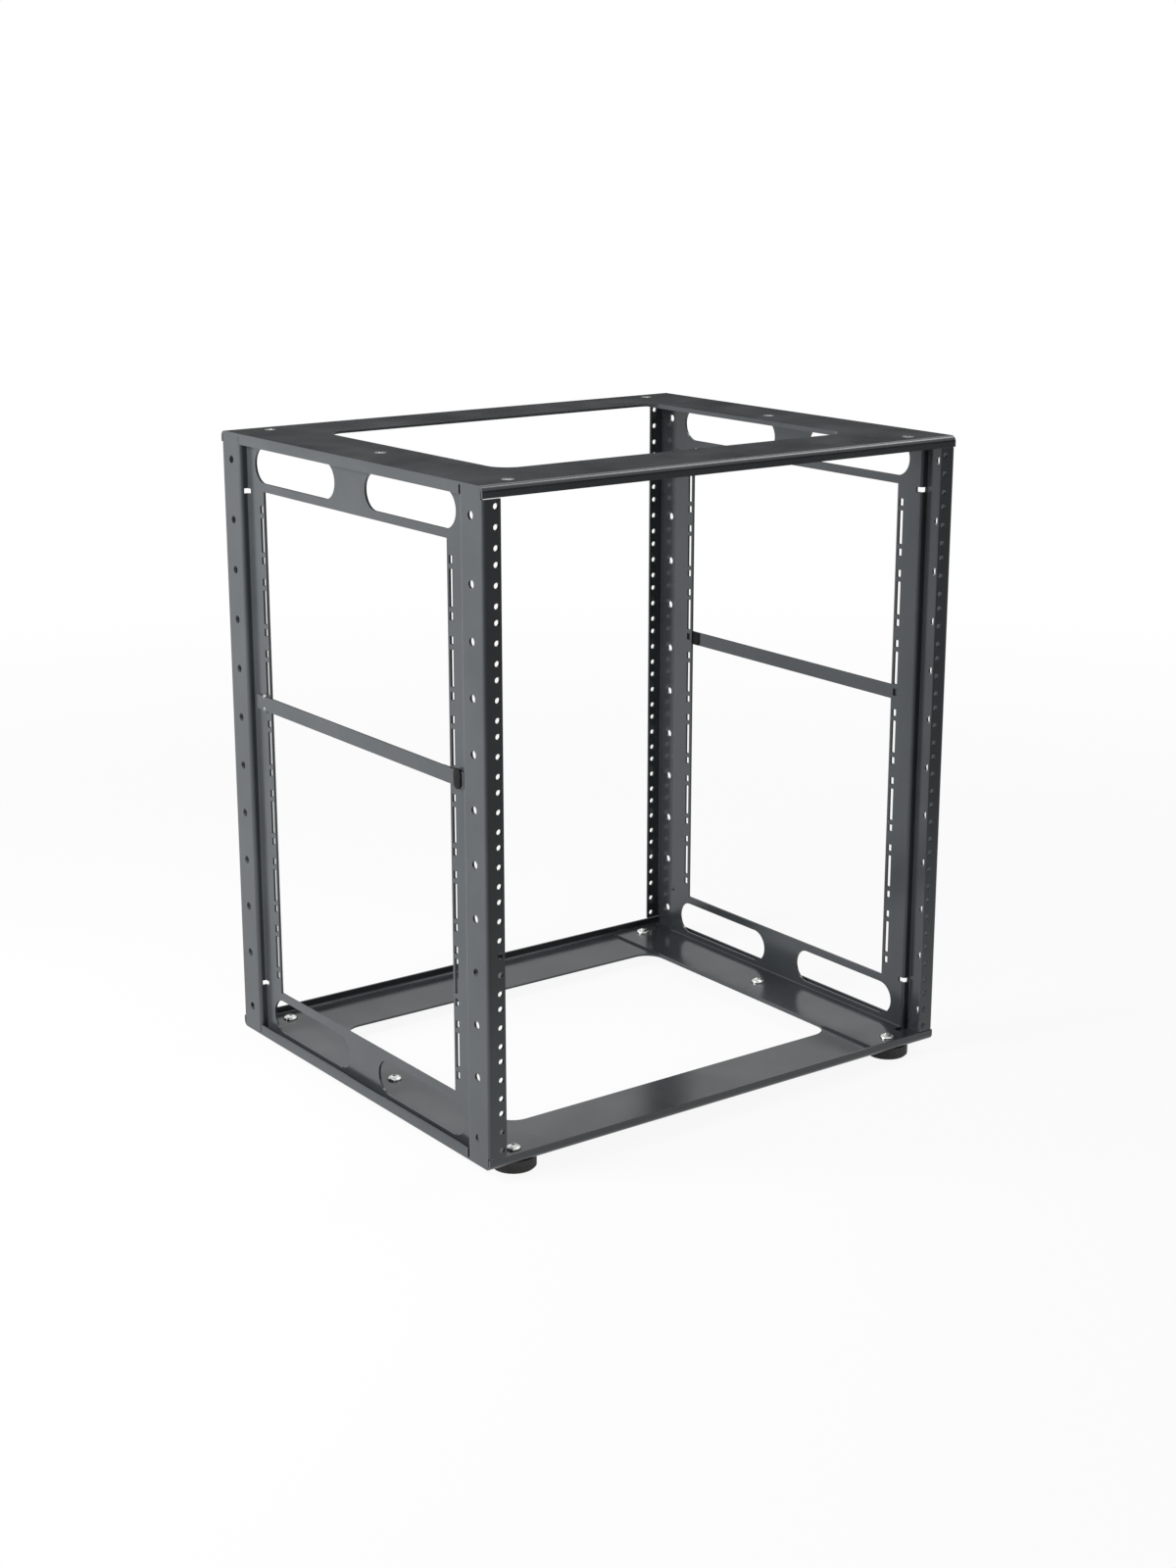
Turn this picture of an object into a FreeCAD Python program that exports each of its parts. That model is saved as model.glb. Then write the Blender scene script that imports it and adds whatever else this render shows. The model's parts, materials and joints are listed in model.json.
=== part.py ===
"""Open-frame equipment rack: four bent corner posts, two pans, side plates, bars and feet."""
import FreeCAD, Part
import math
import os
from FreeCAD import Vector

# Rack standard: number of units, height of one, hole pitch inside a unit, distance between hole columns
UNITS = 12
UNIT = 44.45
HOLE_PITCH = 15.875
COLUMN_SPAN = 465.1

# Overall frame: depth, and height of each pan above or below the rack space
DEPTH = 406.4
PAN_HEIGHT = 9.525

# Sheet steel: thickness, inside bend radius, and the wider one of the pans' lips
SHEET = 2.0
BEND = 1.2
LIP_BEND = 3.0

# Corner post section: hole column from the side face, land past it, side web, strip's inset and far edge
COLUMN_INSET = 11.925
FLANGE_LAND = 4.6
WEB = 32.0
INSET = 6.8
STRIP_REACH = 60.0

# Holes in the posts: rack holes, side holes, their distance from the face, rise of the end ones
RACK_HOLE = 4.8
SIDE_HOLE = 7.0
SIDE_HOLE_INSET = 16.7
SIDE_END_RISE = 14.0

# Lacing slots: pitch of the long ones, lengths, width, spread of a short pair, land to the strip's edge
LACE_PITCH = 63.5
LACE_LONG = 30.0
LACE_SHORT = 6.5
LACE_WIDTH = 4.8
LACE_PAIR = 19.0
LACE_LAND = 2.4

# Side plates: reach into the rack space, hand slots with the metal between and past them, strips' notches
PLATE_REACH = 38.0
SLOT_HEIGHT = 31.0
SLOT_BRIDGE = 47.2
SLOT_END = 14.6
NOTCH_HEIGHT = 4.5
NOTCH_REACH = 5.0

# Mid bars: height, thickness, rise above mid-height, end gap to the post's step
BAR_HEIGHT = 12.7
BAR_SHEET = 2.0
BAR_RISE = 40.5
BAR_GAP = 6.0

# Pan openings: side and end margins, corner radius
OPENING_SIDE = 63.5
OPENING_END = 68.0
OPENING_RADIUS = 19.0

# Pan bolts: places from the outer faces, hole diameter
BOLT_SIDE = 37.0
BOLT_END = 20.5
BOLT_HOLE = 6.6

# Feet and their washers
FOOT_DIAMETER = 38.0
FOOT_TAPER = 1.5
FOOT_HEIGHT = 11.0
FOOT_RECESS = 19.0
FOOT_FLOOR = 5.0
WASHER_DIAMETER = 17.0
WASHER_SHEET = 1.5

# Gap left where separate edges face each other
EDGE_GAP = 0.8

# Levels, from the floor up
FRAME_BASE = FOOT_HEIGHT
BOTTOM_PLATE_TOP = FRAME_BASE + SHEET
RACK_BASE = FRAME_BASE + PAN_HEIGHT
RACK_TOP = RACK_BASE + UNITS * UNIT
FRAME_TOP = RACK_TOP + PAN_HEIGHT
TOP_PLATE_UNDER = FRAME_TOP - SHEET
MIDDLE = (RACK_BASE + RACK_TOP) / 2
LOWER_PLATE_EDGE = RACK_BASE + PLATE_REACH
UPPER_PLATE_EDGE = RACK_TOP - PLATE_REACH

# Sizes that follow from the ones above
WIDTH = COLUMN_SPAN + 2 * COLUMN_INSET
FLANGE = COLUMN_INSET + FLANGE_LAND
UNIT_HOLES = (UNIT / 2 - HOLE_PITCH, UNIT / 2, UNIT / 2 + HOLE_PITCH)
OUTER_BEND = BEND + SHEET
LIP_OUTER = LIP_BEND + SHEET
EAR_SIDE = FLANGE + EDGE_GAP
SLOT_LENGTH = (DEPTH - 2 * WEB - 2 * SLOT_END - SLOT_BRIDGE) / 2
SLOT_LEVEL = (BOTTOM_PLATE_TOP + LOWER_PLATE_EDGE) / 2
STRIP_INNER = INSET + SHEET
PAST = 5.0


def rounded_face(corners, place):
    """Face inside corners given as (u, v, radius), with place turning (u, v) into a point."""
    ends = []
    count = len(corners)
    for i in range(count):
        before = Vector(corners[i - 1][0], corners[i - 1][1], 0)
        here = Vector(corners[i][0], corners[i][1], 0)
        after = Vector(corners[(i + 1) % count][0], corners[(i + 1) % count][1], 0)
        radius = corners[i][2]
        if radius <= 0:
            ends.append((here, None, here))
            continue
        back = (before - here).normalize()
        on = (after - here).normalize()
        half = back.getAngle(on) / 2
        reach = radius / math.tan(half)
        centre = here + (back + on).normalize() * (radius / math.sin(half))
        middle = centre + (here - centre).normalize() * radius
        ends.append((here + back * reach, middle, here + on * reach))
    edges = []
    for i in range(count):
        start, middle, stop = ends[i]
        if middle is not None:
            edges.append(Part.Arc(*(place(p.x, p.y) for p in (start, middle, stop))).toShape())
        following = ends[(i + 1) % count][0]
        if (following - stop).Length > 1e-6:
            edges.append(Part.LineSegment(place(stop.x, stop.y), place(following.x, following.y)).toShape())
    return Part.Face(Part.Wire(edges))


def box(x0, x1, y0, y1, z0, z1):
    return Part.makeBox(x1 - x0, y1 - y0, z1 - z0, Vector(x0, y0, z0))


def turned(section):
    """Solid of revolution about Z from (radius, level) points."""
    points = [Vector(r, 0, z) for r, z in section]
    wire = Part.makePolygon(points + points[:1])
    return Part.Face(wire).revolve(Vector(), Vector(0, 0, 1), 360)


def to_frame(shape, right, rear):
    """Move a piece made at the front left corner to the frame's centre, mirrored where asked."""
    moved = shape.copy()
    if right:
        moved = moved.mirror(Vector(WIDTH / 2, 0, 0), Vector(1, 0, 0))
    if rear:
        moved = moved.mirror(Vector(0, DEPTH / 2, 0), Vector(0, 1, 0))
    moved.translate(Vector(-WIDTH / 2, -DEPTH / 2, 0))
    return moved


def post_blank():
    """Bent sheet over the whole height: flange, web, step and lacing strip."""
    outer = [
        (FLANGE, 0, 0), (0, 0, OUTER_BEND), (0, WEB, OUTER_BEND),
        (INSET, WEB, BEND), (INSET, STRIP_REACH, 0),
    ]
    inner = [
        (STRIP_INNER, STRIP_REACH, 0), (STRIP_INNER, WEB - SHEET, OUTER_BEND),
        (SHEET, WEB - SHEET, BEND), (SHEET, SHEET, BEND), (FLANGE, SHEET, 0),
    ]
    face = rounded_face(outer + inner, lambda u, v: Vector(u, v, BOTTOM_PLATE_TOP))
    return face.extrude(Vector(0, 0, TOP_PLATE_UNDER - BOTTOM_PLATE_TOP))


def rack_holes():
    """Universal column: three holes in each unit, through the flange."""
    holes = []
    for unit in range(UNITS):
        for rise in UNIT_HOLES:
            seat = Vector(COLUMN_INSET, -PAST, RACK_BASE + unit * UNIT + rise)
            holes.append(Part.makeCylinder(RACK_HOLE / 2, SHEET + 2 * PAST, seat, Vector(0, 1, 0)))
    return holes


def side_holes():
    """One hole at the middle of each inner unit, and one near each end of the web."""
    levels = [RACK_BASE + (unit + 0.5) * UNIT for unit in range(1, UNITS - 1)]
    levels += [RACK_BASE + SIDE_END_RISE, RACK_TOP - SIDE_END_RISE]
    along = Vector(1, 0, 0)
    return [Part.makeCylinder(SIDE_HOLE / 2, SHEET + 2 * PAST, Vector(-PAST, SIDE_HOLE_INSET, level), along)
            for level in levels]


def lacing_slots():
    """Long slots in step about mid-height, with a pair of short ones between each two."""
    low = LOWER_PLATE_EDGE + NOTCH_HEIGHT
    high = UPPER_PLATE_EDGE - NOTCH_HEIGHT
    reach = int((high - low) / LACE_PITCH) + 1
    spans = []
    for step in range(-reach, reach + 1):
        centre = MIDDLE + step * LACE_PITCH
        spans.append((centre, LACE_LONG))
        spans.append((centre + (LACE_PITCH - LACE_PAIR) / 2, LACE_SHORT))
        spans.append((centre + (LACE_PITCH + LACE_PAIR) / 2, LACE_SHORT))
    far = STRIP_REACH - LACE_LAND
    near = far - LACE_WIDTH
    return [box(INSET - PAST, STRIP_INNER + PAST, near, far, level - length / 2, level + length / 2)
            for level, length in spans
            if level - length / 2 > low and level + length / 2 < high]


def lip_room():
    """Room for the bottom pan's front lip and its bend, cut from the foot of the post."""
    seat = BOTTOM_PLATE_TOP
    behind = SHEET + EDGE_GAP
    above = RACK_BASE + EDGE_GAP
    corners = [
        (-PAST, seat - PAST, 0), (WEB, seat - PAST, 0), (WEB, seat, 0),
        (behind, seat, LIP_BEND - EDGE_GAP), (behind, above, 0), (-PAST, above, 0),
    ]
    face = rounded_face(corners, lambda u, v: Vector(-PAST, u, v))
    return face.extrude(Vector(FLANGE + 2 * PAST, 0, 0))


def post():
    """Front left corner post, its strip ending on the side plates with a relief notch at each end."""
    past_strip = STRIP_REACH + PAST
    past_inner = STRIP_INNER + PAST
    notch_end = WEB + NOTCH_REACH
    cuts = [
        box(-PAST, past_inner, WEB, past_strip, BOTTOM_PLATE_TOP - PAST, LOWER_PLATE_EDGE),
        box(-PAST, past_inner, WEB, past_strip, UPPER_PLATE_EDGE, TOP_PLATE_UNDER + PAST),
        box(OUTER_BEND, past_inner, WEB - SHEET - PAST, notch_end,
            LOWER_PLATE_EDGE, LOWER_PLATE_EDGE + NOTCH_HEIGHT),
        box(OUTER_BEND, past_inner, WEB - SHEET - PAST, notch_end,
            UPPER_PLATE_EDGE - NOTCH_HEIGHT, UPPER_PLATE_EDGE),
        lip_room(),
        turned_over(lip_room()),
    ]
    return post_blank().cut(cuts + rack_holes() + side_holes() + lacing_slots())


def obround(along):
    """Hand slot through the left lower side plate, centred at a depth."""
    corners = [(along + a * SLOT_LENGTH / 2, SLOT_LEVEL + b * SLOT_HEIGHT / 2, SLOT_HEIGHT / 2)
               for a, b in ((-1, -1), (1, -1), (1, 1), (-1, 1))]
    face = rounded_face(corners, lambda u, v: Vector(INSET - PAST, u, v))
    return face.extrude(Vector(SHEET + 2 * PAST, 0, 0))


def side_plate():
    """Left lower plate between the posts' steps, with two hand slots and a flange on the pan."""
    seat = BOTTOM_PLATE_TOP
    section = [
        (INSET, LOWER_PLATE_EDGE, 0), (INSET, seat, OUTER_BEND), (OPENING_SIDE, seat, 0),
        (OPENING_SIDE, seat + SHEET, 0), (STRIP_INNER, seat + SHEET, BEND),
        (STRIP_INNER, LOWER_PLATE_EDGE, 0),
    ]
    face = rounded_face(section, lambda u, v: Vector(u, WEB, v))
    bent = face.extrude(Vector(0, DEPTH - 2 * WEB, 0))
    lip_clear = LIP_OUTER + EDGE_GAP
    ears = [box(EAR_SIDE, OPENING_SIDE, y, y + WEB - lip_clear, seat, seat + SHEET)
            for y in (lip_clear, DEPTH - WEB)]
    offset = (SLOT_LENGTH + SLOT_BRIDGE) / 2
    cuts = [obround(DEPTH / 2 + side * offset) for side in (-1, 1)]
    cuts += [hole for hole in bolt_holes() if hole.BoundBox.XMax < WIDTH / 2]
    return bent.fuse(ears).removeSplitter().cut(cuts)


def mid_bar():
    """Left flat bar on the outer faces of the lacing strips."""
    end = WEB + BAR_GAP
    low = MIDDLE + BAR_RISE - BAR_HEIGHT / 2
    return box(INSET - BAR_SHEET, INSET, end, DEPTH - end, low, low + BAR_HEIGHT)


def bolt_holes():
    """Countersunk bolt holes of the bottom pan: at the corners and halfway along each side."""
    bore = BOLT_HOLE / 2
    hole = turned([
        (0, FRAME_BASE), (bore + SHEET, FRAME_BASE), (bore, BOTTOM_PLATE_TOP),
        (bore, BOTTOM_PLATE_TOP + PAST), (0, BOTTOM_PLATE_TOP + PAST),
    ])
    return [hole.translated(Vector(x, y, 0))
            for x in (BOLT_SIDE, WIDTH - BOLT_SIDE)
            for y in (BOLT_END, DEPTH / 2, DEPTH - BOLT_END)]


def pan():
    """Bottom pan: plate with full-width lips turned up front and rear, an opening and bolt holes."""
    base = FRAME_BASE
    seat = BOTTOM_PLATE_TOP
    profile = [
        (0, base, LIP_OUTER), (DEPTH, base, LIP_OUTER),
        (DEPTH, RACK_BASE, 0), (DEPTH - SHEET, RACK_BASE, 0), (DEPTH - SHEET, seat, LIP_BEND),
        (SHEET, seat, LIP_BEND), (SHEET, RACK_BASE, 0), (0, RACK_BASE, 0),
    ]
    face = rounded_face(profile, lambda u, v: Vector(0, u, v))
    bent = face.extrude(Vector(WIDTH, 0, 0))
    opening = [(x, y, OPENING_RADIUS) for x, y in (
        (OPENING_SIDE, OPENING_END), (WIDTH - OPENING_SIDE, OPENING_END),
        (WIDTH - OPENING_SIDE, DEPTH - OPENING_END), (OPENING_SIDE, DEPTH - OPENING_END))]
    cutter = rounded_face(opening, lambda u, v: Vector(u, v, base - PAST))
    cutter = cutter.extrude(Vector(0, 0, SHEET + 2 * PAST))
    return bent.cut([cutter] + bolt_holes())


def turned_over(shape):
    """The same piece at the other end of the frame's height."""
    return shape.mirror(Vector(0, 0, MIDDLE), Vector(0, 0, 1))


def foot():
    """Round rubber foot with a recess below for its washer and nut."""
    bore = BOLT_HOLE / 2
    wide = FOOT_DIAMETER / 2
    seat = FOOT_HEIGHT - FOOT_FLOOR
    return turned([
        (bore, FOOT_HEIGHT), (wide, FOOT_HEIGHT), (wide, FOOT_TAPER), (wide - FOOT_TAPER, 0),
        (FOOT_RECESS / 2, 0), (FOOT_RECESS / 2, seat), (bore, seat),
    ])


def washer():
    seat = FOOT_HEIGHT - FOOT_FLOOR
    ring = Part.makeCylinder(WASHER_DIAMETER / 2, WASHER_SHEET, Vector(0, 0, seat - WASHER_SHEET))
    return ring.cut(Part.makeCylinder(BOLT_HOLE / 2, FOOT_HEIGHT))


def pieces():
    """Every piece by its name, in the finished frame."""
    made = {}
    seat = Vector(BOLT_SIDE, BOLT_END, 0)
    for right, side in ((False, "left"), (True, "right")):
        made["side_plate_bottom_" + side] = to_frame(side_plate(), right, False)
        made["side_plate_top_" + side] = to_frame(turned_over(side_plate()), right, False)
        made["mid_bar_" + side] = to_frame(mid_bar(), right, False)
        for rear, end in ((False, "front"), (True, "rear")):
            corner = end + "_" + side
            made["post_" + corner] = to_frame(post(), right, rear)
            made["foot_" + corner] = to_frame(foot().translated(seat), right, rear)
            made["foot_washer_" + corner] = to_frame(washer().translated(seat), right, rear)
    made["bottom_pan"] = to_frame(pan(), False, False)
    made["top_pan"] = to_frame(turned_over(pan()), False, False)
    return made


os.makedirs("parts", exist_ok=True)
for name, shape in pieces().items():
    shape.exportStep("parts/" + name + ".step")
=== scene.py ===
import json
import math

import bpy
from mathutils import Matrix, Vector


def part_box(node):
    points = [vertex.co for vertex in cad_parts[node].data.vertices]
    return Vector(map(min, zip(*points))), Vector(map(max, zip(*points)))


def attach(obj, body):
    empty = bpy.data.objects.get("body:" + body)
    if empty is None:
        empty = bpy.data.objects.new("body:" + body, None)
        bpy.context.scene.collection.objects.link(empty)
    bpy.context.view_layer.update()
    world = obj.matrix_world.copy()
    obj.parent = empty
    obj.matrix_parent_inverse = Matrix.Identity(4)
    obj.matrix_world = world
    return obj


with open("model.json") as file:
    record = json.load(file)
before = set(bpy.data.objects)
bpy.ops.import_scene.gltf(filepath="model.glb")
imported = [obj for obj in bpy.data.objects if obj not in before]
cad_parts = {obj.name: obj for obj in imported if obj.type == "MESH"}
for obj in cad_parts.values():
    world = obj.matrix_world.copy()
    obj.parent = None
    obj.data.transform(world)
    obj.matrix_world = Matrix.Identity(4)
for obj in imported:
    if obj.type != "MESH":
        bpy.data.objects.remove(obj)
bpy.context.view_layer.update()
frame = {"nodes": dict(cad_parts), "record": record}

# Sheet thickness of the frame, and the places of bolts and lips read from the frame's own pieces
SHEET = 0.002
FOOT_LOW, FOOT_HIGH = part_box("foot_front_left")
BOLT_X = -(FOOT_LOW.x + FOOT_HIGH.x) / 2
BOLT_Y = -(FOOT_LOW.y + FOOT_HIGH.y) / 2
PAN_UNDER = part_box("bottom_pan")[0].z
BOTTOM_LIP_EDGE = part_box("bottom_pan")[1].z
TOP_LIP_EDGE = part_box("top_pan")[0].z
PAN_SIDE, PAN_END, PAN_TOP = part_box("top_pan")[1]
FLANGE_TOP = PAN_UNDER + 2 * SHEET
FLANGE_UNDER = PAN_TOP - 2 * SHEET
WASHER_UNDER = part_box("foot_washer_front_left")[0].z

# Added pieces: the gap that keeps them off their neighbours, and the degrees up to which edges are smooth
FIT_GAP = 0.0001
SMOOTH_ANGLE = 30

# Round pieces: points round each ring
RING_POINTS = 48

# Nuts: across flats, height, share of the flats that is left flat at the ends, and the corners' slope
HEX_FLATS = 0.010
NUT_HEIGHT = 0.0032
NUT_END_SHARE = 0.95
NUT_SLOPE = math.tan(math.radians(30))

# Shanks: radius, and the chamfered end as shares of it: the radius that is left and the chamfer's length
SHANK_RADIUS = 0.003
SHANK_END_SHARE = 0.8
SHANK_END_RUN = 0.2

# Low round bolt heads: radius, height, upright rim, and steps up the dome
HEAD_RADIUS = 0.0066
HEAD_HEIGHT = 0.0036
HEAD_RIM = 0.0006
HEAD_STEPS = 10

# Drive sockets: across flats, depth, and the radius at which a bolt's dome ends round its socket
SOCKET_FLATS = 0.004
SOCKET_DEPTH = 0.0016
SOCKET_RIM = 0.0025

# Flat screws: radius of their holes and of the countersinks, and how far they pass their nuts
SCREW_HOLE_RADIUS = 0.0033
SINK_RADIUS = SCREW_HOLE_RADIUS + SHEET
SCREW_PAST = 0.001

# Side lips of the pans: their ends from the part's corners, how far they start inside the pan,
# the rise of the crown on their free edge, and steps across it
LIP_END = 0.0322
LIP_SINK = 0.0005
LIP_CROWN = 0.0005
LIP_STEPS = 8

# Mid bar: box of the left one, and the inner edge of the strip that it stands on
BAR_LOW, BAR_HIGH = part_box("mid_bar_left")
BAR_MIDDLE = (BAR_LOW.z + BAR_HIGH.z) / 2
STRIP_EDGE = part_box("post_rear_left")[0].y

# Black pads at the bar ends: outer pad and inner pad (width, height, thickness) with their corner radii,
# and how far in from the bar's end the outer pad starts. The inner pad is painted shade: it stands for the
# strip's shadow on the bar
OUTER_PAD = (0.0100, 0.0168, 0.0014)
SHADE_PAD = (0.0100, 0.0126, 0.0010)
OUTER_PAD_RADIUS = 0.0048
SHADE_PAD_RADIUS = 0.0015
OUTER_PAD_INSET = 0.0030

# Soft edge of a pad: its share of the thickness, its middle ring's share of that, and points round a corner
PAD_RIM_SHARE = 0.4
PAD_RIM_MIDDLE = 0.3
CORNER_POINTS = 8

# Weld spots at the bar's other end: radius, height from the strip through the bar,
# and places in from the bar's end and off its middle
WELD_RADIUS = 0.0034
WELD_HEIGHT = 0.0030
WELD_INSET = 0.0125
WELD_OFFSET = 0.0056

# A weld spot's mesh: points round it, steps up it, waves of its outline (share, count, turn), smooth edges
WELD_POINTS = 28
WELD_STEPS = 7
WELD_WAVES = ((0.06, 3, 0.7), (0.04, 5, 0))
WELD_SMOOTH_ANGLE = 60

# World: its light on the object, and the darker band low round it that reflections see:
# the sines of the heights where it ends, and its level
WORLD_LIGHT = 0.2
BAND_TOP = (0.22, 0.38)
BAND_LEVEL = 0.04
WHITE = (1, 1, 1, 1)

# Floor: half size, share of plain white in it by the object, the distances over which that goes up to all,
# and the dimming of its front to reflections (range of y, level)
FLOOR_REACH = 30
FLOOR_WHITE = 0.92
FLOOR_FADE = (0.6, 2.4)
FRONT_FADE = (-0.9, -0.1)
FRONT_LEVEL = 0.3

# Floor's own surface, which takes the shadow
FLOOR_COLOUR = (0.92, 0.92, 0.92, 1)
FLOOR_ROUGHNESS = 0.9
FLOOR_GLOSS = 0.1

# Soft boxes: name, place, width and height, watts
LAMP_AIM = (0, 0, 0.28)
LAMPS = (
    ("left", (-1.25, 0.2, 0.85), (0.7, 0.7), 23),
    ("right", (1.45, -0.2, 2.3), (0.7, 1.0), 11),
)

# The photo's camera: place, degrees turned right and down, focal length and sensor width in millimetres
CAMERA_PLACE = (-1.2494, -1.6990, 0.8351)
CAMERA_YAW = 36.39
CAMERA_PITCH = 15.54
CAMERA_LENS = 55.95
CAMERA_SENSOR = 36

# The parts of a noise value's range that are spread over a roughness range, and over a pair of colours
NOISE_SPAN = (0.3, 0.7)
TINT_SPAN = (0.35, 0.65)

# Powder coat: dark and light colour of its mottling, roughness range, gloss, cool tint of its reflections
PAINT_COLOURS = ((0.040, 0.044, 0.048), (0.050, 0.055, 0.060))
PAINT_ROUGHNESS = (0.18, 0.25)
PAINT_GLOSS = 0.6
PAINT_SHEEN = (0.91, 0.97, 1.0, 1)

# Rubber: dark and light colour, roughness
RUBBER_COLOURS = ((0.040, 0.039, 0.038), (0.066, 0.064, 0.062))
RUBBER_ROUGHNESS = 0.72

# Zinc plating: dark and light colour, roughness range
ZINC_COLOURS = ((0.66, 0.66, 0.64), (0.80, 0.80, 0.79))
ZINC_ROUGHNESS = (0.18, 0.34)

# Black pads at the bar ends, the inner one painted shade: dark and light colour, roughness, gloss
PAD_COLOURS = ((0.004, 0.0045, 0.005), (0.008, 0.0085, 0.009))
PAD_ROUGHNESS = 0.6
PAD_GLOSS = 0.15

# Weld metal: dark and light colour, roughness range
WELD_COLOURS = ((0.17, 0.175, 0.18), (0.23, 0.235, 0.24))
WELD_ROUGHNESS = (0.5, 0.65)


def material(name):
    """New node material with its shader and object coordinates in metres."""
    made = bpy.data.materials.new(name)
    made.use_nodes = True
    nodes = made.node_tree.nodes
    shader = nodes["Principled BSDF"]
    coords = nodes.new("ShaderNodeTexCoord")
    return made, shader, coords.outputs["Object"]


def noise(made, coords, scale, detail):
    """Value of a noise texture."""
    node = made.node_tree.nodes.new("ShaderNodeTexNoise")
    node.inputs["Scale"].default_value = scale
    node.inputs["Detail"].default_value = detail
    made.node_tree.links.new(coords, node.inputs["Vector"])
    return node.outputs["Fac"]


def ease(tree, value, span, low, high, kind="SMOOTHSTEP"):
    """Step from low to high as a value crosses a span, smooth or of another kind."""
    node = tree.nodes.new("ShaderNodeMapRange")
    node.interpolation_type = kind
    node.inputs["From Min"].default_value, node.inputs["From Max"].default_value = span
    node.inputs["To Min"].default_value = low
    node.inputs["To Max"].default_value = high
    tree.links.new(value, node.inputs["Value"])
    return node.outputs["Result"]


def roughen(made, shader, value, limits):
    """Roughness that follows a noise value between two limits."""
    spread = ease(made.node_tree, value, NOISE_SPAN, *limits, kind="LINEAR")
    made.node_tree.links.new(spread, shader.inputs["Roughness"])


def tint(made, shader, value, colours):
    """Base colour that follows a noise value from the first colour to the second."""
    ramp = made.node_tree.nodes.new("ShaderNodeValToRGB")
    for stop, position, colour in zip(ramp.color_ramp.elements, TINT_SPAN, colours):
        stop.position = position
        stop.color = (*colour, 1)
    made.node_tree.links.new(value, ramp.inputs["Fac"])
    made.node_tree.links.new(ramp.outputs["Color"], shader.inputs["Base Color"])


def bump(made, shader, height, strength, distance):
    """Fine relief that follows a noise value."""
    node = made.node_tree.nodes.new("ShaderNodeBump")
    node.inputs["Strength"].default_value = strength
    node.inputs["Distance"].default_value = distance
    made.node_tree.links.new(height, node.inputs["Height"])
    made.node_tree.links.new(node.outputs["Normal"], shader.inputs["Normal"])


def powder_coat():
    """Glossy charcoal powder coat with a fine orange peel and faint handling marks."""
    made, shader, coords = material("powder_coat")
    tint(made, shader, noise(made, coords, scale=14, detail=4), PAINT_COLOURS)
    roughen(made, shader, noise(made, coords, scale=22, detail=6), PAINT_ROUGHNESS)
    shader.inputs["Specular IOR Level"].default_value = PAINT_GLOSS
    shader.inputs["Specular Tint"].default_value = PAINT_SHEEN
    bump(made, shader, noise(made, coords, scale=900, detail=2), strength=0.03, distance=0.0003)
    return made


def rubber():
    """Matte black rubber with dust in its grain."""
    made, shader, coords = material("rubber")
    tint(made, shader, noise(made, coords, scale=160, detail=5), RUBBER_COLOURS)
    shader.inputs["Roughness"].default_value = RUBBER_ROUGHNESS
    bump(made, shader, noise(made, coords, scale=1400, detail=2), strength=0.25, distance=0.0003)
    return made


def zinc():
    """Bright zinc plating with faint tumbling marks."""
    made, shader, coords = material("zinc")
    tint(made, shader, noise(made, coords, scale=300, detail=4), ZINC_COLOURS)
    roughen(made, shader, noise(made, coords, scale=500, detail=4), ZINC_ROUGHNESS)
    shader.inputs["Metallic"].default_value = 1.0
    bump(made, shader, noise(made, coords, scale=2600, detail=2), strength=0.12, distance=0.0002)
    return made


def pad_coat():
    """Black pads at a bar's end, nearly without shine. The inner one is painted shade."""
    made, shader, coords = material("pad_coat")
    tint(made, shader, noise(made, coords, scale=200, detail=3), PAD_COLOURS)
    shader.inputs["Roughness"].default_value = PAD_ROUGHNESS
    shader.inputs["Specular IOR Level"].default_value = PAD_GLOSS
    bump(made, shader, noise(made, coords, scale=1400, detail=2), strength=0.1, distance=0.0002)
    return made


def weld_metal():
    """Dull bare metal of a weld."""
    made, shader, coords = material("weld_metal")
    tint(made, shader, noise(made, coords, scale=700, detail=4), WELD_COLOURS)
    roughen(made, shader, noise(made, coords, scale=900, detail=4), WELD_ROUGHNESS)
    shader.inputs["Metallic"].default_value = 1.0
    bump(made, shader, noise(made, coords, scale=1200, detail=3), strength=0.2, distance=0.0003)
    return made


# Looks of the record's slots, and those of the two small things that differ from their slots
LOOKS = {"frame_paint": powder_coat(), "foot_rubber": rubber(), "zinc_steel": zinc()}
PAD_LOOK = pad_coat()
WELD_LOOK = weld_metal()


def dress_frame():
    """Give every CAD node the look of its record slot."""
    for row in frame["record"]["subparts"]:
        mesh = frame["nodes"][row["node"]].data
        mesh.materials.clear()
        mesh.materials.append(LOOKS[row["material_slot"]])


def add_piece(name, verts, faces, slot, look=None, smooth_angle=SMOOTH_ANGLE):
    """New piece of the object, in the row frame, with its own look or that of its record slot."""
    mesh = bpy.data.meshes.new(name)
    mesh.from_pydata(verts, [], faces)
    mesh.materials.append(look or LOOKS[slot])
    for polygon in mesh.polygons:
        polygon.use_smooth = True
    mesh.set_sharp_from_angle(angle=math.radians(smooth_angle))
    piece = bpy.data.objects.new(name, mesh)
    bpy.context.scene.collection.objects.link(piece)
    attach(piece, "root")


def ring_faces(rings, count):
    """Faces between neighbouring rings of points, of which all have the same count."""
    faces = []
    for k in range(rings - 1):
        for i in range(count):
            j = (i + 1) % count
            faces.append((k * count + i, k * count + j, (k + 1) * count + j, (k + 1) * count + i))
    return faces


def closed_faces(rings, count):
    """Faces between neighbouring rings of points, and across the first ring and the last."""
    first = tuple(range(count))[::-1]
    last = tuple(range((rings - 1) * count, rings * count))
    return ring_faces(rings, count) + [first, last]


def turned(faces, over):
    """The faces, turned over where that is asked."""
    return [face[::-1] for face in faces] if over else faces


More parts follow.
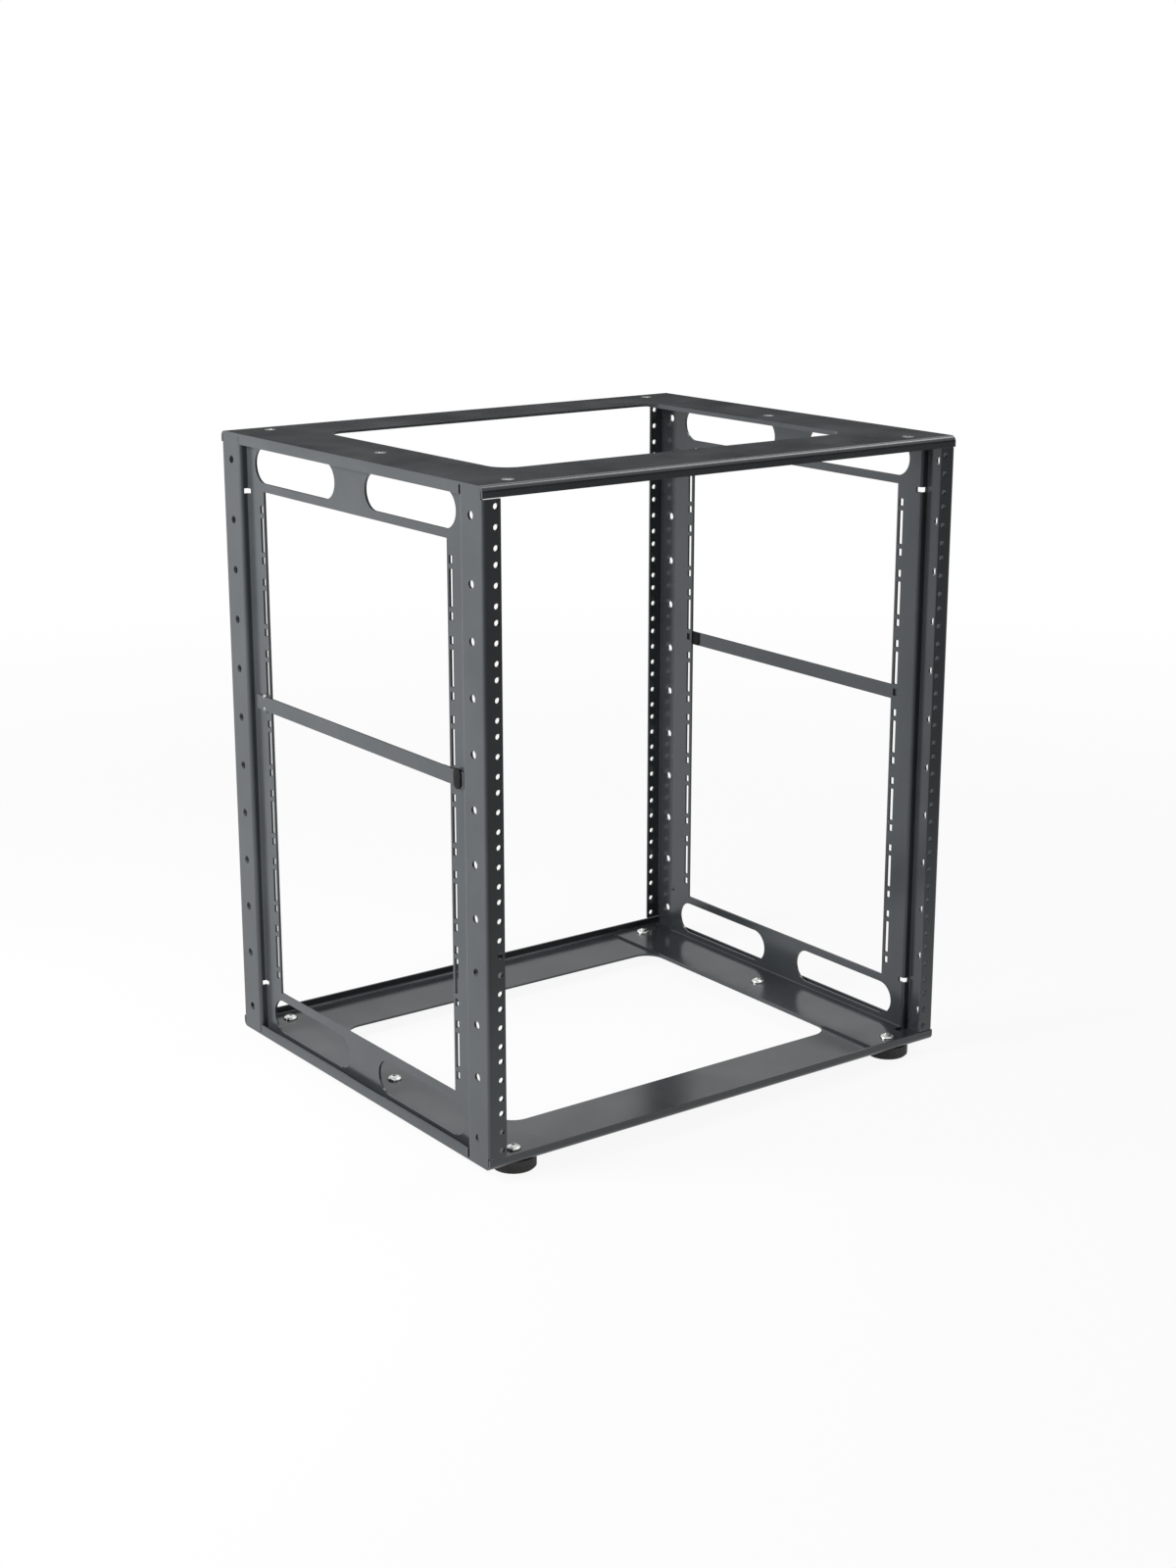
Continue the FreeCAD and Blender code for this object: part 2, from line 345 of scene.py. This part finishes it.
def lathe(rings, place, flip=False):
    """Closed mesh about Z through rings of (radius by angle, height by angle), upside down where asked."""
    verts = []
    sign = -1 if flip else 1
    for radius, height in rings:
        for i in range(RING_POINTS):
            angle = 2 * math.pi * i / RING_POINTS
            reach = radius(angle)
            verts.append((place[0] + reach * math.cos(angle), place[1] + reach * math.sin(angle),
                          place[2] + sign * height(angle)))
    return verts, turned(closed_faces(len(rings), RING_POINTS), flip)


def round_ring(radius, height):
    """Ring of one radius at one height."""
    return (lambda angle: radius), (lambda angle: height)


def hex_radius(flats):
    """Distance from the axis to a hexagon's side, by angle."""
    return lambda angle: flats / 2 / math.cos((angle % (math.pi / 3)) - math.pi / 6)


def shank_rings(end, top):
    """Rings of a shank, from its chamfered end up to its top."""
    return [
        round_ring(SHANK_RADIUS * SHANK_END_SHARE, end),
        round_ring(SHANK_RADIUS, end + SHANK_RADIUS * SHANK_END_RUN),
        round_ring(SHANK_RADIUS, top),
    ]


def socket_rings(rim, floor):
    """Rings of a drive socket, from its rim down to its floor."""
    wide = hex_radius(SOCKET_FLATS)
    return [(wide, lambda angle: rim), (wide, lambda angle: floor)]


def round_bolt(name, x, y, seat, shank_end):
    """Low round head with a drive socket, and its shank down through the sheets."""
    rings = shank_rings(shank_end - seat, 0)
    rings.append(round_ring(HEAD_RADIUS, FIT_GAP))
    last = math.acos(SOCKET_RIM / HEAD_RADIUS)
    for k in range(HEAD_STEPS + 1):
        turn = last * k / HEAD_STEPS
        rise = HEAD_RIM + (HEAD_HEIGHT - HEAD_RIM) * math.sin(turn)
        rings.append(round_ring(HEAD_RADIUS * math.cos(turn), rise))
    rings += socket_rings(rise, rise - SOCKET_DEPTH)
    add_piece(name, *lathe(rings, (x, y, seat)), "zinc_steel")


def hex_nut(name, x, y, seat):
    """Hex nut under a sheet, round its shank, with the rounded-off corners that turning leaves."""
    wide = hex_radius(HEX_FLATS)
    end_radius = HEX_FLATS / 2 * NUT_END_SHARE
    rings = [
        round_ring(end_radius, FIT_GAP),
        (wide, lambda angle: 2 * FIT_GAP),
        (wide, lambda angle: NUT_HEIGHT - (wide(angle) - end_radius) * NUT_SLOPE),
        round_ring(end_radius, NUT_HEIGHT),
    ]
    add_piece(name, *lathe(rings, (x, y, seat), flip=True), "zinc_steel")


def flat_screw(name, x, y, top, shank_end):
    """Flat-head screw flush in its countersink, with a drive socket."""
    rings = shank_rings(shank_end - top, -SHEET)
    rings.append(round_ring(SINK_RADIUS - 2 * FIT_GAP, -2 * FIT_GAP))
    rings.append(round_ring(SINK_RADIUS - 4 * FIT_GAP, -FIT_GAP))
    rings += socket_rings(-FIT_GAP, -SOCKET_DEPTH)
    add_piece(name, *lathe(rings, (x, y, top)), "zinc_steel")


def add_hardware():
    """Bolts through the bottom pan, screws through the top pan, and their nuts."""
    for side, x in (("left", -BOLT_X), ("right", BOLT_X)):
        for end, y in (("front", -BOLT_Y), ("mid", 0), ("rear", BOLT_Y)):
            spot = end + "_" + side
            nut_seat = PAN_UNDER if end == "mid" else WASHER_UNDER
            round_bolt("bolt_" + spot, x, y, FLANGE_TOP, nut_seat - NUT_HEIGHT - FIT_GAP)
            hex_nut("bolt_nut_" + spot, x, y, nut_seat)
            flat_screw("screw_" + spot, x, y, PAN_TOP, FLANGE_UNDER - NUT_HEIGHT - SCREW_PAST)
            hex_nut("screw_nut_" + spot, x, y, FLANGE_UNDER)


def side_lip(name, sign, base, edge):
    """Sheet along a pan's side, square to it, from inside the pan to a slightly crowned free edge."""
    way = 1 if edge > base else -1
    half = SHEET / 2
    middle = PAN_SIDE - FIT_GAP / 2 - half
    outline = [(middle - half, base - way * LIP_SINK), (middle + half, base - way * LIP_SINK)]
    for k in range(LIP_STEPS + 1):
        angle = math.pi * k / LIP_STEPS
        outline.append((middle + half * math.cos(angle), edge - way * LIP_CROWN * (1 - math.sin(angle))))
    reach = PAN_END - LIP_END
    verts = [(sign * x, y, z) for y in (-reach, reach) for x, z in outline]
    add_piece(name, verts, turned(closed_faces(2, len(outline)), sign * way > 0), "frame_paint")


def add_side_lips():
    """Lips along both sides of both pans, as high as the lips at their ends."""
    for side, sign in (("left", -1), ("right", 1)):
        side_lip("bottom_pan_lip_" + side, sign, PAN_UNDER + SHEET, BOTTOM_LIP_EDGE)
        side_lip("top_pan_lip_" + side, sign, PAN_TOP - SHEET, TOP_LIP_EDGE)


def rounded_outline(width, height, radius):
    """Points round a rounded rectangle."""
    points = []
    for corner, (a, b) in enumerate(((1, 1), (-1, 1), (-1, -1), (1, -1))):
        for i in range(CORNER_POINTS):
            angle = math.pi / 2 * (corner + i / (CORNER_POINTS - 1))
            points.append((a * (width / 2 - radius) + radius * math.cos(angle),
                           b * (height / 2 - radius) + radius * math.sin(angle)))
    return points


def black_pad(name, size, radius, middle, face, outward):
    """Soft-edged black pad on a face across X: middle (y, z), face x, and outward +1 or -1 along X."""
    width, height, thick = size
    rim = thick * PAD_RIM_SHARE
    soft = rim * PAD_RIM_MIDDLE
    rings = [(0, 0), (0, thick - rim), (soft, thick - soft), (rim, thick)]
    verts = []
    for inset, rise in rings:
        for y, z in rounded_outline(width - 2 * inset, height - 2 * inset, radius - inset):
            verts.append((face + outward * rise, middle[0] + y, middle[1] + z))
    faces = closed_faces(len(rings), len(verts) // len(rings))
    add_piece(name, verts, turned(faces, outward < 0), "foot_rubber", PAD_LOOK)


def weld_spot(name, middle, face, outward):
    """Rounded weld bead on a face across X, with a slightly wavy foot."""
    verts = []
    for k in range(WELD_STEPS):
        rise = math.pi / 2 * k / WELD_STEPS
        for i in range(WELD_POINTS):
            angle = 2 * math.pi * i / WELD_POINTS
            wave = 1 + sum(share * math.sin(count * angle + turn) for share, count, turn in WELD_WAVES)
            reach = WELD_RADIUS * math.cos(rise) * wave
            verts.append((face + outward * WELD_HEIGHT * math.sin(rise),
                          middle[0] + reach * math.cos(angle), middle[1] + reach * math.sin(angle)))
    faces = ring_faces(WELD_STEPS, WELD_POINTS)
    peak = len(verts)
    verts.append((face + outward * WELD_HEIGHT, *middle))
    last = peak - WELD_POINTS
    faces += [(last + i, last + (i + 1) % WELD_POINTS, peak) for i in range(WELD_POINTS)]
    faces.append(tuple(range(WELD_POINTS))[::-1])
    add_piece(name, verts, turned(faces, outward < 0), "zinc_steel", WELD_LOOK, WELD_SMOOTH_ANGLE)


def add_bar_ends():
    """Black pads on both faces at one end of each bar, the inner one painted shade by the strip's edge, and
    two weld spots at the other, the right bar turned half round.
    """
    for side, sign in (("left", -1), ("right", 1)):
        outer = -sign * BAR_LOW.x
        inner = -sign * BAR_HIGH.x
        head = (sign * (BAR_HIGH.y - OUTER_PAD_INSET - OUTER_PAD[0] / 2), BAR_MIDDLE)
        inside = (sign * (STRIP_EDGE - SHADE_PAD[0] / 2 - FIT_GAP), BAR_MIDDLE)
        black_pad("bar_outer_pad_" + side, OUTER_PAD, OUTER_PAD_RADIUS, head, outer, sign)
        # Inner pad: painted shade, where the strip's shadow falls on the bar by the strip's free edge
        black_pad("bar_clip_plate_" + side, SHADE_PAD, SHADE_PAD_RADIUS, inside, inner, -sign)
        end = -sign * (BAR_HIGH.y - WELD_INSET)
        for level, rise in (("upper", WELD_OFFSET), ("lower", -WELD_OFFSET)):
            weld_spot("bar_weld_" + level + "_" + side, (end, BAR_MIDDLE + rise), inner, sign)


def math_node(tree, operation, *values):
    """Math node on numbers and other nodes' outputs."""
    node = tree.nodes.new("ShaderNodeMath")
    node.operation = operation
    for socket, value in zip(node.inputs, values):
        if isinstance(value, (int, float)):
            socket.default_value = value
        else:
            tree.links.new(value, socket)
    return node.outputs["Value"]


def axis(tree, coords, name):
    """One axis of a coordinate."""
    split = tree.nodes.new("ShaderNodeSeparateXYZ")
    tree.links.new(coords, split.inputs["Vector"])
    return split.outputs[name]


def add_world():
    """White to the camera. Reflections see it white from above, with a darker band low round the studio."""
    world = bpy.data.worlds.new("studio")
    bpy.context.scene.world = world
    world.use_nodes = True
    world.cycles.sampling_method = "NONE"
    tree = world.node_tree
    tree.nodes.clear()
    ray = tree.nodes.new("ShaderNodeLightPath").outputs
    coords = tree.nodes.new("ShaderNodeTexCoord").outputs["Generated"]
    level = ease(tree, axis(tree, coords, "Z"), BAND_TOP, BAND_LEVEL, 1)
    share = math_node(tree, "MULTIPLY_ADD", ray["Is Glossy Ray"], 1 - WORLD_LIGHT, WORLD_LIGHT)
    around = math_node(tree, "MULTIPLY", level, share)
    seen = math_node(tree, "MAXIMUM", ray["Is Camera Ray"], ray["Is Transmission Ray"])
    back = tree.nodes.new("ShaderNodeBackground")
    back.inputs["Color"].default_value = WHITE
    tree.links.new(math_node(tree, "MAXIMUM", seen, around), back.inputs["Strength"])
    output = tree.nodes.new("ShaderNodeOutputWorld")
    tree.links.new(back.outputs["Background"], output.inputs["Surface"])


def floor_look():
    """Pale floor that goes white away from the object. Its front is dimmer to reflections."""
    made, shader, coords = material("floor")
    made.cycles.emission_sampling = "NONE"
    shader.inputs["Base Color"].default_value = FLOOR_COLOUR
    shader.inputs["Roughness"].default_value = FLOOR_ROUGHNESS
    shader.inputs["Specular IOR Level"].default_value = FLOOR_GLOSS
    tree = made.node_tree
    link = tree.links.new
    ray = tree.nodes.new("ShaderNodeLightPath").outputs
    distance = tree.nodes.new("ShaderNodeVectorMath")
    distance.operation = "LENGTH"
    link(coords, distance.inputs[0])
    seen = math_node(tree, "MAXIMUM", ray["Is Camera Ray"], ray["Is Transmission Ray"])
    seen = math_node(tree, "MAXIMUM", seen, ray["Is Glossy Ray"])
    share = ease(tree, distance.outputs["Value"], FLOOR_FADE, FLOOR_WHITE, 1)
    dimming = ease(tree, axis(tree, coords, "Y"), FRONT_FADE, FRONT_LEVEL - 1, 0)
    white = tree.nodes.new("ShaderNodeEmission")
    link(math_node(tree, "MULTIPLY_ADD", ray["Is Glossy Ray"], dimming, 1), white.inputs["Strength"])
    mix = tree.nodes.new("ShaderNodeMixShader")
    link(math_node(tree, "MULTIPLY", seen, share), mix.inputs["Fac"])
    link(shader.outputs["BSDF"], mix.inputs[1])
    link(white.outputs["Emission"], mix.inputs[2])
    link(mix.outputs["Shader"], tree.nodes["Material Output"].inputs["Surface"])
    return made


def add_floor():
    """Wide floor under the feet, kept off the object."""
    mesh = bpy.data.meshes.new("floor")
    corners = ((-1, -1), (1, -1), (1, 1), (-1, 1))
    mesh.from_pydata([(a * FLOOR_REACH, b * FLOOR_REACH, 0) for a, b in corners], [], [(0, 1, 2, 3)])
    mesh.materials.append(floor_look())
    floor = bpy.data.objects.new("floor", mesh)
    bpy.context.scene.collection.objects.link(floor)


def add_lights():
    """Soft boxes at the left and high at the right, which the camera doesn't see."""
    for name, place, size, power in LAMPS:
        data = bpy.data.lights.new(name, "AREA")
        data.shape = "RECTANGLE"
        data.size, data.size_y = size
        data.energy = power
        lamp = bpy.data.objects.new(name, data)
        lamp.location = place
        lamp.rotation_euler = (Vector(LAMP_AIM) - Vector(place)).to_track_quat("-Z", "Y").to_euler()
        lamp.visible_camera = False
        bpy.context.scene.collection.objects.link(lamp)


def add_camera():
    """Camera at the photo's place: turned right from +Y by its yaw and down by its pitch."""
    yaw = math.radians(CAMERA_YAW)
    pitch = math.radians(CAMERA_PITCH)
    right = Vector((math.cos(yaw), -math.sin(yaw), 0))
    ahead = Vector((math.sin(yaw) * math.cos(pitch), math.cos(yaw) * math.cos(pitch), -math.sin(pitch)))
    up = right.cross(ahead)
    data = bpy.data.cameras.new("camera")
    data.lens = CAMERA_LENS
    data.sensor_width = CAMERA_SENSOR
    camera = bpy.data.objects.new("camera", data)
    facing = Matrix((right, up, -ahead)).transposed().to_4x4()
    camera.matrix_world = Matrix.Translation(CAMERA_PLACE) @ facing
    bpy.context.scene.collection.objects.link(camera)
    bpy.context.scene.camera = camera
    bpy.context.scene.view_settings.view_transform = "Standard"


dress_frame()
add_hardware()
add_side_lips()
add_bar_ends()
add_world()
add_floor()
add_lights()
add_camera()
